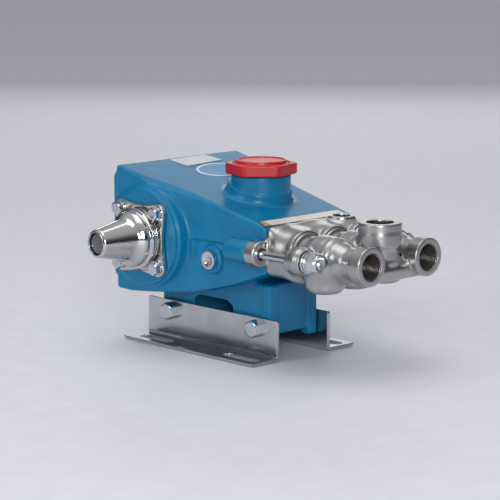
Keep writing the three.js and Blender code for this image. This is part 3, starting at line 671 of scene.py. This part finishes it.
def plugs():
    """The side plug with its socket, the drain plug and the gauge lens."""
    y, z = PLUG[1:]
    low, high = span("side_plug")
    x0, x1 = low[0], high[0]
    outer = rounded([(0, x1), (4.9, x1), (4.9, x0 + 3.7), (7.5, x0 + 3.7), (7.5, x0), (4.6, x0)], 0.5)
    socket = [(3.1, x0 + 0.9), (2.6, x0 + 1.0), (2.6, x0 + 3.0), (0, x0 + 3.2)]
    piece = solid("side_plug_turned", turned(0, (y, z), list(outer) + socket, 72, socket_shape))
    made(piece, ZINC, "zinc_fastener", "side_plug")
    bolt("drain_plug_hex", 1, (0, DRAIN_Z), REAR_FACE, 1, 13, 3.2, 8.2, 9, "zinc_fastener", ["drain_plug"])
    low, high = span("oil_gauge_lens")
    ring = rounded([(0, low[1]), (7.9, low[1]), (7.9, REAR_FACE), (10.9, REAR_FACE), (10.9, high[1] - 0.8),
                    (8.8, high[1]), (7.6, high[1] - 1.2), (0, high[1] - 1.0)], 0.5)
    lens = solid("oil_gauge_lens_turned", turned(1, (0, GAUGE_Z), ring, 72))
    made(lens, ACRYLIC, "sight_glass", "oil_gauge_lens")


def socket_shape(t, radius, along):
    """A hexagon socket: where the profile is inside 3 mm, its radius follows a 4.5 mm hexagon."""
    off_flat = (t + np.pi / 6) % (np.pi / 3) - np.pi / 6
    return np.where((radius < 2.7) & (radius > 0), 2.25 / np.cos(off_flat), radius)


# ---------------------------------------------------------------- covers and shaft protector
def bearing_cover(side, sign):
    """A polished cover: a round-cornered square with hollow sides, a groove round the raised hub and a
    spigot behind."""
    at = (CRANK_Y, AXIS_Z)
    hub_r = 24.9

    def off_boss(start, end, radius, edge):
        ends = sorted((sign * (BOSS_X + start), sign * (BOSS_X + end)))
        return bar(0, at, tuple(ends), radius, edge)
    half = COVER_BOLT + 7.4
    square = block((-200, CRANK_Y - half, AXIS_Z - half), (200, CRANK_Y + half, AXIS_Z + half), 7.4)
    hollows = [bar(0, (CRANK_Y + y * 77.4, AXIS_Z + z * 77.4), (-200, 200), 50, 0.1)
               for y, z in ((-1, 0), (1, 0), (0, 1), (0, -1))]
    middle = sign * (BOSS_X + 2.3)
    plate = meet(0.9, cut(3.0, square, *hollows), lambda x, y, z: np.abs(x - middle) - 2.0 + 0 * y)
    groove = cut(0.2, off_boss(2.3, 9, 26.9, 0.1), bar(0, at, (-200, 200), hub_r, 0.1))
    hub = join(0.5, off_boss(0, 5.6, hub_r, 0.6), off_boss(0, 7.3, 23.4, 0.8))
    body = join(0.5, cut(0.5, plate, groove), hub, off_boss(-2.9, 1, 25.6, 0.5))
    field = cut(0.4, body, off_boss(-9, 5, 16.3, 0.3), off_boss(-9, 30, 9.3, 0.3))
    low, high = span(f"{side}_bearing_cover")
    piece = skin(f"{side}_bearing_cover_polished", field, low, high, 0.55)
    return made(piece, TURNED_STAINLESS, "polished_stainless", f"{side}_bearing_cover")


def shaft_protector():
    """A turned cone on a bell-shaped foot, open at the tip, with three short slits near the foot."""
    low, high = span("shaft_protector")
    x0, tip = high[0], low[0]
    foot = [(21, x0), (25, x0), (25, x0 - 2.6), (23.4, x0 - 3.2), (22.6, x0 - 4.2), (22.8, x0 - 6.4)]
    bell = [(21.9, x0 - 8.6), (20.3, x0 - 10.6), (18.8, x0 - 12.2), (17.6, x0 - 14.2), (16.9, x0 - 16.6)]
    cone = [(11.9, tip + 3.4), (11.5, tip + 1.6), (10.0, tip), (8.9, tip)]
    inside = [(8.9, tip + 9), (9.3, tip + 12), (13.5, x0 - 14), (19, x0 - 8), (21, x0 - 3)]
    corner = rounded(foot + bell + cone + inside, 0.7, 4, closed=True)
    rows = np.concatenate([np.linspace(a, b, max(2, int(np.hypot(*(b - a)) / 0.6)))[:-1]
                           for a, b in zip(corner, np.roll(corner, -1, axis=0))])

    def slits(t, radius, along):
        depth = 0
        for angle in (-1.25, -0.75, 0.95):
            across = np.abs((t - angle + np.pi) % (2 * np.pi) - np.pi) * radius
            lengthwise = np.maximum(np.abs(along - (x0 - 22)) - 5.5, 0)
            depth = depth + 0.9 * np.clip(1.5 - np.hypot(across, lengthwise), 0, 1)
        return radius - np.where((radius > 15.2) & (along < x0 - 14), depth, 0)
    piece = solid("shaft_protector_turned", turned(0, (CRANK_Y, AXIS_Z), rows, 160, slits, closed=True))
    return made(piece, TURNED_STAINLESS, "polished_stainless", "shaft_protector")


# ---------------------------------------------------------------- manifolds
BELLY_ROOM = np.array([0, 0, 12.0])     # how far below its CAD solid a casting may reach


def inlet_manifold():
    """Three lobes under one smooth back that falls from a lip, with a stepped bright arch over each at the
    front, a deeper belly below and an ear on each side."""
    low, high = span("inlet_manifold")
    back, front = FRONT_Y - 0.3, low[1]
    spine = block((-50.3, front + 9, AXIS_Z - 17), (50.3, back, AXIS_Z + 17.2), 13)
    lip = block((-47.5, back - 4.5, AXIS_Z - 17), (47.5, back + 9, 111.4), 3.0)
    lobes = join(5.0, *[level(x, front + 1.2, back, 18.3, 2.2) for x in BORES_X])
    web = block((-33, front + 10, AXIS_Z - 14), (33, back, AXIS_Z + 15.5), 4)
    belly = block((-45, front + 2, 50), (45, back, AXIS_Z), 9)
    body = join(9.0, join(7.0, lobes, spine, web), lip)
    body = join(7.0, body, meet(7, belly, slope((1, 2), (-66, 67), (0.36, -1))))
    rims = [join(0.3, level(x, front, front + 7, 17.4), level(x, front + 1.6, front + 7, 19.5, 1.2))
            for x in BORES_X]
    ears = mirrored(join(5.0, level(-STUD_X, -38.5, -27, 10.1, 1.8),
                         block((-STUD_X, -37, AXIS_Z - 9), (-38, back, AXIS_Z + 9), 2.5)))
    boss = join(2.0, bar(2, SMALL_PORT, (AXIS_Z, SMALL_PORT_Z), 10.3, 1.0),
                bar(2, SMALL_PORT, (AXIS_Z, 111), 11, 1.0))
    body = join(4.0, join(1.0, body, *rims), ears, boss)
    body = cut(1.0, body, block((-50.5, back, 50), (50.5, 10, 140), 0.5))
    bores = [bar(2, SMALL_PORT, (AXIS_Z, SMALL_PORT_Z + BEYOND), 6.9, 0.3),
             bar(0, (-50, AXIS_Z), (-33, 33), 6.5)]
    for x in BORES_X:
        bores += [level(x, front - BEYOND, -39, VALVE_POCKET_R, 0.5), level(x, -42, 0, PASSAGE_R)]
    bores += [level(x, -60, 0, BOLT_HOLE_R, 0.2) for x in (-STUD_X, STUD_X)]
    piece = skin("inlet_manifold_casting", cut(0.9, body, *bores), low - BELLY_ROOM, high, 0.72)
    return made(piece, CAST_STAINLESS, "cast_stainless", "inlet_manifold")


def discharge_manifold():
    """Three rounded chambers run into two port barrels, a cross gallery, a tall top boss and a lug on each
    side."""
    low, high = span("discharge_manifold")
    back = high[1]
    chambers = [join(5.0, level(x, -100, back - 10.5, 17.6, 4.5), level(x, -108, -90, 13.6, 5),
                     level(x, -90, back, 15.4, 0.6)) for x in BORES_X]
    web = block((-36, -98, AXIS_Z - 15), (36, back - 10, AXIS_Z + 10), 4)
    bellies = [bar(2, (x, -84), (65, AXIS_Z), 15.5, 6) for x in BORES_X]
    body = join(7.0, join(6.0, *chambers), web, *bellies)
    gallery = join(2.0, bar(0, (-118, 82.5), (-PORT_X, PORT_X), 8.6, 3),
                   block((-36, -112, 74), (36, -98, 96), 5))
    necks = mirrored(bar(1, (-PORT_X, PORT_Z), (-124, -92), 12.4, 2))
    collars = mirrored(bar(1, (-PORT_X, PORT_Z), (PORT_FACE_Y, -121), 15.3, 1.3))
    tower = join(4.0, bar(2, (0, TOP_PORT_Y), (88, 112), 15.2, 2),
                 bar(2, (0, TOP_PORT_Y), (102, TOP_PORT_Z), 16.9, 1.4),
                 block((-14, TOP_PORT_Y, 84), (14, -94, 103), 4))
    lugs = mirrored(join(6.0, level(-STUD_X, -84, -72, 10.4, 2.0),
                         block((-STUD_X, -84, AXIS_Z - 8), (-42, -73, AXIS_Z + 8), 3)))
    body = join(4.0, join(2.2, join(5.0, body, gallery, necks), collars), tower, lugs)
    seats = mirrored(level(-STUD_X, -88, -79, 10.0, 1.0))
    nut_room = mirrored(level(-STUD_X, -140, -87.9, 8.9, 0.6))
    body = cut(1.2, join(3.0, body, seats), nut_room)
    body = meet(0.8, body, slope((0, 1), (0, back), (0, 1)))
    bores = [bar(2, (0, TOP_PORT_Y), (AXIS_Z - 5, TOP_PORT_Z + BEYOND), 10.9, 0.4),
             level(0, TOP_PORT_Y, -102, 8), bar(0, (-113, 88), (-PORT_X, PORT_X), 5)]
    for x in BORES_X:
        bores += [level(x, -89, 0, VALVE_POCKET_R, 0.5), level(x, -104, -80, 9.5)]
    for x in (-PORT_X, PORT_X):
        bores += [bar(1, (x, PORT_Z), (PORT_FACE_Y - BEYOND, -102), 9.3, 0.3),
                  bar(1, (x, PORT_Z), (PORT_FACE_Y - BEYOND, PORT_FACE_Y + 1.6), 10.6, 0.3)]
    bores += [level(x, -140, 0, BOLT_HOLE_R, 0.2) for x in (-STUD_X, STUD_X)]
    piece = skin("discharge_manifold_casting", cut(0.8, body, *bores), low - BELLY_ROOM, high, 0.8)
    return made(piece, CAST_STAINLESS, "cast_stainless", "discharge_manifold")


def port_threads():
    """A sleeve in each port whose inner side carries the thread, coloured dark as painted shade for the
    depth of the bore.
    """
    front = (PORT_FACE_Y + 1.2, -108)
    ports = [("near_port", 1, (-PORT_X, PORT_Z), front, 9.4),
             ("top_port", 2, (0, TOP_PORT_Y), (97, TOP_PORT_Z - 1.0), 11.0),
             ("far_port", 1, (PORT_X, PORT_Z), front, 9.4),
             ("small_port", 2, SMALL_PORT, (101, SMALL_PORT_Z - 0.8), 7.0)]
    for name, axis, at, (start, end), radius in ports:
        inner = [(radius - 0.1, s) for s in np.arange(start, end, 0.22)]
        outer = [(radius + 0.5, s) for s in np.linspace(end, start, 8)]
        helix = threaded(1.8, 1.0, (start, end))
        sleeve = turned(axis, at, inner + outer, 72,
                        lambda t, r, s: np.where(r < radius, helix(t, r, s), r), closed=True)
        # The sleeves take a dark colour that paints the shade deep inside each port.
        made(solid(f"{name}_thread", sleeve, sharp=60), PORT_SHADE_PAINT, "cast_stainless")


# ---------------------------------------------------------------- rails, cap, crankshaft
def rail(side, sign):
    """A folded angle: upright, foot and a bend of 3 mm, with two long slots and two bolt holes."""
    low, high = span(f"{side}_rail")
    near, far = abs(low[0]), abs(high[0])
    inner, outer = min(near, far), max(near, far)
    thick = 3.0
    corners = [(inner, 0), (outer, 0), (outer, 60), (inner, 60)]
    square = outline((0, 2), rounded(corners, 4.0, 6, closed=True))
    hollow = outline((0, 2), rounded([(inner + thick, thick), (outer + 30, thick), (outer + 30, 90),
                                      (inner + thick, 90)], 1.6, 6, closed=True))
    shape = cut(0.3, square, hollow)
    plan = block((inner - 20, low[1], -30), (outer, high[1], 200), 1.2)
    height = block((-200, low[1], -40), (200, high[1], high[2]), 2.2)
    body = meet(0.5, shape, plan, height, lambda x, y, z: -z + 0 * x)
    half = 4.75
    holes = []
    for y in RAIL_HOLES_Y:
        ends = [bar(2, (SLOT_X, y + reach), (-9, 9), half, 0.2) for reach in (-14.2, 14.2)]
        holes.append(join(0.01, block((SLOT_X - half, y - 14, -9), (SLOT_X + half, y + 14, 9), 0.2), *ends))
        holes.append(bar(0, (y, RAIL_BOLT_Z), (inner - 9, inner + 9), BOLT_HOLE_R, 0.2))
    field = cut(0.5, body, *holes)
    turned_field = lambda x, y, z: field(x * sign, y, z)
    piece = skin(f"{side}_rail_folded", turned_field, low, high, 0.8)
    return made(piece, BRUSHED_SHEET, "rail_steel", f"{side}_rail")


def oil_cap():
    """A hexagon cap with softened corners, a dished disc in a round groove on top and a spigot below."""
    low, high = span("oil_filler_cap")
    seat, skirt = NECK_TOP + 1.9, NECK_TOP + 0.4
    deck, top = seat + 8.1, high[2]
    apothem = 26
    turns = [CAP_TURN + k * math.pi / 3 for k in range(6)]
    sides = [slope((0, 1), (apothem * a, NECK_Y + apothem * b), (a, b))
             for a, b in [(math.cos(t), math.sin(t)) for t in turns]]
    head = meet(1.3, *sides, lambda x, y, z: np.maximum(z - deck, skirt - z) + 0 * x)
    head = meet(1.0, head, upright(skirt, deck, 2 * apothem / math.sqrt(3) - 0.7, 2.2))
    groove = cut(0.2, upright(seat + 6.9, seat + 20, 23.4, 0.1), upright(seat, seat + 30, 22.0, 0.1))
    head = cut(0.5, cut(0.3, head, upright(skirt - 9, seat, 22.7, 0.1)), groove)
    dome = lambda x, y, z: np.sqrt(x ** 2 + (y - NECK_Y) ** 2 + (z - top + 152) ** 2) - 151.4
    dish = meet(0.5, upright(top - 0.9, top + 9, 18.6, 0.3), negative(dome))
    disc = cut(0.6, upright(seat, top, 22.2, 1.0, 20.6), dish)
    spigot = upright(low[2], seat + 2, 13.3)
    field = cut(0.6, join(0.8, head, disc, spigot), upright(low[2] - 9, NECK_TOP + 6, 10))
    piece = skin("oil_filler_cap_moulded", field, low, high, 0.62)
    made(piece, RED_NYLON, "red_plastic", "oil_filler_cap", body="cap")
    low, high = span("oil_cap_gasket")
    ring = rounded([(13.9, low[2]), (22.4, low[2]), (22.4, high[2]), (13.9, high[2])], 0.5, closed=True)
    gasket = solid("oil_cap_gasket_moulded", turned(2, (0, NECK_Y), ring, 96, closed=True))
    made(gasket, NITRILE, "rubber", "oil_cap_gasket", body="cap_lifter")


def crankshaft():
    """The shaft with its journals, webs and three crank pins, and a key in a slot at the driven end."""
    low, high = span("crankshaft")
    at = (CRANK_Y, AXIS_Z)
    journals = [bar(0, at, (-66, -41), 12, 0.6), bar(0, at, (41, 66), 12, 0.6)]
    webs = [bar(0, at, (x - half, x + half), 16)
            for x, half in ((-45, 3), (45, 3), (-16.5, 7.5), (16.5, 7.5))]
    pins = []
    for k, x in enumerate(BORES_X):
        turn = math.radians(120 * k)
        pin = (CRANK_Y + THROW * math.cos(turn), AXIS_Z + THROW * math.sin(turn))
        pins.append(bar(0, pin, (x - 10, x + 10), 7, 0.1))
    gaps = [bar(0, at, (x - 9, x + 9), 30, 0.1) for x in BORES_X]
    shaft = cut(0.3, bar(0, at, (low[0], high[0]), 8.25), *gaps)
    key_low, key_high = span("shaft_key")
    slot = block((key_low[0] - 0.2, CRANK_Y - 2.5, key_low[2] - 0.2),
                 (key_high[0] + 0.2, CRANK_Y + 2.5, 200), 0.3)
    field = cut(0.3, join(0.6, shaft, *journals, *webs, *pins), slot)
    piece = skin("crankshaft_ground", field, low, high, 0.75)
    made(piece, FORGED, "forged_steel", "crankshaft", body="crankshaft")
    key = skin("shaft_key_ground", block(key_low, key_high, 0.5), key_low, key_high, 0.4)
    made(key, FORGED, "forged_steel", "shaft_key", body="crankshaft")


# ---------------------------------------------------------------- inside the pump
def ring_piece(name, node_name, axis, inner, outer, material, slot, body, edge=0.5):
    """A plain turned ring, or a rod when inner is 0, filling its node's length, with softened edges."""
    low, high = span(node_name)
    u, v = [i for i in range(3) if i != axis]
    at = ((low[u] + high[u]) / 2, (low[v] + high[v]) / 2)
    corners = [(inner, low[axis]), (outer, low[axis]), (outer, high[axis]), (inner, high[axis])]
    profile = rounded(corners, edge, closed=inner > 0)
    made(solid(name, turned(axis, at, profile, 72, closed=inner > 0)), material, slot, node_name, body=body)


def insides():
    """Wrist pins, pistons, seals, cylinders, valves and bearings."""
    for n in (1, 2, 3):
        head = f"crosshead_{n}"
        ring_piece(f"wrist_pin_{n}_ground", f"wrist_pin_{n}", 0, 0, 3.95, FORGED, "forged_steel", head)
        ring_piece(f"piston_{n}_ceramic", f"piston_{n}", 1, 0, 9.95, CERAMIC, "ceramic", head, 0.8)
        ring_piece(f"cylinder_{n}_ceramic", f"cylinder_{n}", 1, 10.25, 13.7, CERAMIC, "ceramic", "root")
        ring_piece(f"rod_seal_{n}_moulded", f"rod_seal_{n}", 1, 7.3, 13.6, NITRILE, "rubber", "root", 1.2)
        ring_piece(f"inlet_valve_{n}_plate", f"inlet_valve_{n}", 1, 4.2, 9.3, TURNED_STAINLESS,
                   "polished_stainless", f"suction_valve_{n}", 0.4)
    for side in ("near", "far"):
        ring_piece(f"{side}_main_bearing_race", f"{side}_main_bearing", 0, 12.6, 25.6, FORGED,
                   "forged_steel", "root", 0.9)
        ring_piece(f"{side}_shaft_seal_moulded", f"{side}_shaft_seal", 0, 8.5, 15.9, NITRILE,
                   "rubber", "root", 0.8)


def carried_over():
    """The moving pieces deep inside keep their CAD shape and get their own finish."""
    for n in (1, 2, 3):
        for name, material in ((f"connecting_rod_{n}", BRONZE), (f"crosshead_rod_{n}", TURNED_STAINLESS),
                               (f"discharge_valve_{n}", TURNED_STAINLESS)):
            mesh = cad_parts[name].data
            mesh.materials.clear()
            mesh.materials.append(material)


# ---------------------------------------------------------------- labels
def labels():
    """Blank plates on the top: a silver one, an oval one with a white rim and a strip at the front."""
    silver = [(-13.3, 117.2), (-8.2, 100.4), (34, 103.9), (28, 118.7)]
    made(slab("rear_label_plate", silver, top_z, 0.5, 1.0), SILVER_FOIL, "enamel")
    t = np.linspace(0, 2 * np.pi, 72, endpoint=False)
    oval = lambda a, b: np.column_stack([14 + a * np.cos(t), 84.5 + b * np.sin(t)])
    made(slab("oval_label_rim", oval(24, 14.5), top_z, 0.4), WHITE_VINYL, "enamel")
    made(slab("oval_label_face", oval(22, 12.7), top_z, 0.6), BLUE_VINYL, "enamel")
    strip = lambda e: [(-46.6 + e, -23.2 - e), (-49 + e, -34.2 + e),
                       (44.4 - e, -34.2 + e), (43 - e, -23.2 - e)]
    made(slab("front_strip_border", strip(0), top_z, 0.35, 0.6), DARK_VINYL, "enamel")
    made(slab("front_strip_face", strip(0.95), top_z, 0.5, 0.5), CREAM_VINYL, "enamel")
    end = [(-45.6, -24.2), (-47.8, -33.2), (-40.5, -33.2), (-42.5, -24.2)]
    made(slab("front_strip_end", end, top_z, 0.62, 0.4), TAN_VINYL, "enamel")


# ---------------------------------------------------------------- floor, lights and camera
def floor():
    """A wide pale disc under the feet."""
    bpy.ops.mesh.primitive_circle_add(vertices=96, radius=30, fill_type="NGON", location=(0, 0, -0.0002))
    piece = bpy.context.object
    piece.name = "studio_floor"
    piece.data.materials.append(FLOOR)


def softbox(name, place, target, size, power, colour="#FFFFFF"):
    """A rectangular light aimed at a point, in metres and watts."""
    data = bpy.data.lights.new(name, "AREA")
    data.shape = "RECTANGLE"
    data.size, data.size_y = size
    data.energy = power
    data.color = linear(colour)[:3]
    light = bpy.data.objects.new(name, data)
    light.location = place
    light.rotation_euler = (Vector(target) - Vector(place)).to_track_quat("-Z", "Y").to_euler()
    bpy.context.scene.collection.objects.link(light)
    return light


def lights():
    """A box over the top, one from the near side, one from the front, a low one behind that the sloping top
    mirrors, and a sky that is bright overhead and dark towards the horizon."""
    middle = (0, 0.0, 0.09)
    softbox("top_box", (-0.15, 0.1, 1.5), middle, (1.3, 0.9), 5)
    softbox("near_box", (-1.6, 0.45, 0.7), middle, (0.6, 0.9), 5)
    softbox("front_box", (-1.15, -1.3, 0.62), middle, (0.35, 0.7), 14)
    softbox("back_box", (1.5, 1.35, 0.75), middle, (1.6, 0.5), 5)
    world = bpy.data.worlds.new("studio")
    bpy.context.scene.world = world
    world.use_nodes = True
    tree = world.node_tree
    place = node(tree, "ShaderNodeTexCoord").outputs["Generated"]
    height = node(tree, "ShaderNodeSeparateXYZ", {"Vector": place}).outputs["Z"]
    rise = node(tree, "ShaderNodeMapRange", {"Value": height, "From Min": -1.0, "From Max": 1.0})
    sky = ramped(tree, rise.outputs["Result"], [
        (0.0, "#77777C"), (0.5, "#4A4B50"), (0.6, "#3C3D42"), (0.7, "#77787E"), (0.82, "#DADBE1"),
        (1.0, "#FAFAFF")])
    tree.links.new(sky, tree.nodes["Background"].inputs["Color"])
    tree.nodes["Background"].inputs["Strength"].default_value = 0.66
    bpy.context.scene.view_settings.view_transform = "Standard"


def camera():
    """A long lens from the near front corner, a little above the pump."""
    azimuth, elevation, distance = math.radians(45.8), math.radians(10.2), 1.833
    back = Vector((-math.cos(azimuth) * math.cos(elevation), -math.sin(azimuth) * math.cos(elevation),
                   math.sin(elevation)))
    right = Vector((math.sin(azimuth), -math.cos(azimuth), 0))
    up = Vector((math.cos(azimuth) * math.sin(elevation), math.sin(azimuth) * math.sin(elevation),
                 math.cos(elevation)))
    data = bpy.data.cameras.new("camera")
    data.lens = 158.4
    data.shift_x, data.shift_y = -0.03, 0.024
    data.clip_end = 100
    made_camera = bpy.data.objects.new("camera", data)
    made_camera.location = back * distance + right * 0.0226 + up * 0.0667 + Vector((0, 0.049, 0))
    made_camera.rotation_euler = (-back).to_track_quat("-Z", "Y").to_euler()
    bpy.context.scene.collection.objects.link(made_camera)
    bpy.context.scene.camera = made_camera


camera()
floor()
lights()
crankcase()
rear_cover()
bolts()
studs_and_nuts()
plugs()
for side_name, side_sign in (("near", NEAR), ("far", FAR)):
    bearing_cover(side_name, side_sign)
    rail(side_name, side_sign)
shaft_protector()
inlet_manifold()
discharge_manifold()
port_threads()
oil_cap()
crankshaft()
insides()
carried_over()
labels()

bpy.context.view_layer.update()
